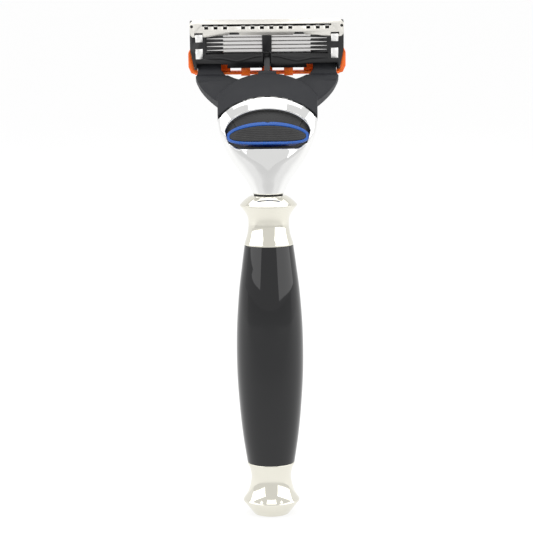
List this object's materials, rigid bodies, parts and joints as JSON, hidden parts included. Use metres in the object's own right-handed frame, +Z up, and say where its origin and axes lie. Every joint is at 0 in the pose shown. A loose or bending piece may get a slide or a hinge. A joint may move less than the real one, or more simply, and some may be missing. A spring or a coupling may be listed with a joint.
{
  "type": "cartridge razor",
  "caption": "Turned black handle with plated metal ends and a chromed docking head with an eject button, carrying a pivoting multi-blade shaving cartridge.",
  "frame": {"origin": "centre of the flat face of the lower ferrule, on the handle's axis", "axes": "+Z up the handle towards the head; -Y is the thumb side with the eject button; +Y is the side the blades face; +X completes the right-handed frame and runs along the blades"},
  "size_m": [0.042, 0.0255, 0.1308],
  "materials": {
    "nickel_plate": "polished",
    "black_resin": "gloss",
    "rod_steel": "satin",
    "washer_rubber": "matte",
    "head_chrome": "polished",
    "core_plastic": "matte",
    "screw_steel": "satin",
    "button_blue": "gloss",
    "pad_rubber": "matte",
    "slide_charcoal": "satin",
    "plunger_grey": "satin",
    "spring_steel": "satin",
    "member_grey": "matte",
    "housing_black": "satin",
    "guard_orange": "satin",
    "fin_elastomer": "matte",
    "strip_polymer": "matte",
    "comb_metal": "satin",
    "blade_steel": "polished",
    "support_steel": "satin",
    "clip_metal": "satin"
  },
  "bodies": {
    "handle": {"lower_ferrule": "nickel_plate", "grip": "black_resin", "upper_ferrule": "nickel_plate", "tie_rod": "rod_steel", "neck_washer": "washer_rubber", "head_shell": "head_chrome", "docking_core": "core_plastic", "core_screw": "screw_steel"},
    "ejector": {"ejector_slide": "slide_charcoal", "eject_button": "button_blue", "button_pad": "pad_rubber"},
    "cartridge_mount": {"connecting_member": "member_grey"},
    "blade_unit": {"cartridge_housing": "housing_black", "guard": "guard_orange", "guard_fins": "fin_elastomer", "lubricating_strip": "strip_polymer", "trimmer_guard": "comb_metal", "trimmer_blade": "blade_steel", "clip_left": "clip_metal", "clip_right": "clip_metal"},
    "plunger_body": {"plunger": "plunger_grey", "plunger_spring": "spring_steel"},
    "floating_blade_1": {"blade_1": "blade_steel", "blade_support_1": "support_steel"},
    "floating_blade_2": {"blade_2": "blade_steel", "blade_support_2": "support_steel"},
    "floating_blade_3": {"blade_3": "blade_steel", "blade_support_3": "support_steel"},
    "floating_blade_4": {"blade_4": "blade_steel", "blade_support_4": "support_steel"},
    "floating_blade_5": {"blade_5": "blade_steel", "blade_support_5": "support_steel"}
  },
  "joints": [
    {"name": "eject_button_slide", "type": "slide", "parent": "handle", "child": "ejector", "axis": [0, 0.5, 0.866], "range_m": [0, 0.0018], "stiffness_N_per_m": 400, "springref_m": -0.002},
    {"name": "cartridge_release", "type": "slide", "parent": "ejector", "child": "cartridge_mount", "axis": [0, 0.5, 0.866], "range_m": [0, 0.014]},
    {"name": "cartridge_pivot", "type": "hinge", "parent": "cartridge_mount", "child": "blade_unit", "pos_m": [0, 0.01427, 0.11867], "axis": [1, 0, 0], "range_deg": [0, 40], "stiffness_Nm_per_rad": 0.004, "springref_deg": -28.65},
    {"name": "plunger_slide", "type": "slide", "parent": "handle", "child": "plunger_body", "axis": [0, -0.5, -0.866], "range_m": [0, 0.00195], "deforming": ["plunger_spring"]},
    {"name": "blade_1_float", "type": "slide", "parent": "blade_unit", "child": "floating_blade_1", "axis": [0, -0.9781, -0.2079], "range_m": [0, 0.0002], "stiffness_N_per_m": 200, "springref_m": -0.0005},
    {"name": "blade_2_float", "type": "slide", "parent": "blade_unit", "child": "floating_blade_2", "axis": [0, -0.9781, -0.2079], "range_m": [0, 0.0002], "stiffness_N_per_m": 200, "springref_m": -0.0005},
    {"name": "blade_3_float", "type": "slide", "parent": "blade_unit", "child": "floating_blade_3", "axis": [0, -0.9781, -0.2079], "range_m": [0, 0.0002], "stiffness_N_per_m": 200, "springref_m": -0.0005},
    {"name": "blade_4_float", "type": "slide", "parent": "blade_unit", "child": "floating_blade_4", "axis": [0, -0.9781, -0.2079], "range_m": [0, 0.0002], "stiffness_N_per_m": 200, "springref_m": -0.0005},
    {"name": "blade_5_float", "type": "slide", "parent": "blade_unit", "child": "floating_blade_5", "axis": [0, -0.9781, -0.2079], "range_m": [0, 0.0002], "stiffness_N_per_m": 200, "springref_m": -0.0005}
  ],
  "couplings": [
    {"joint": "cartridge_pivot", "follows": "plunger_slide", "rad_per_m": 357.14}
  ]
}
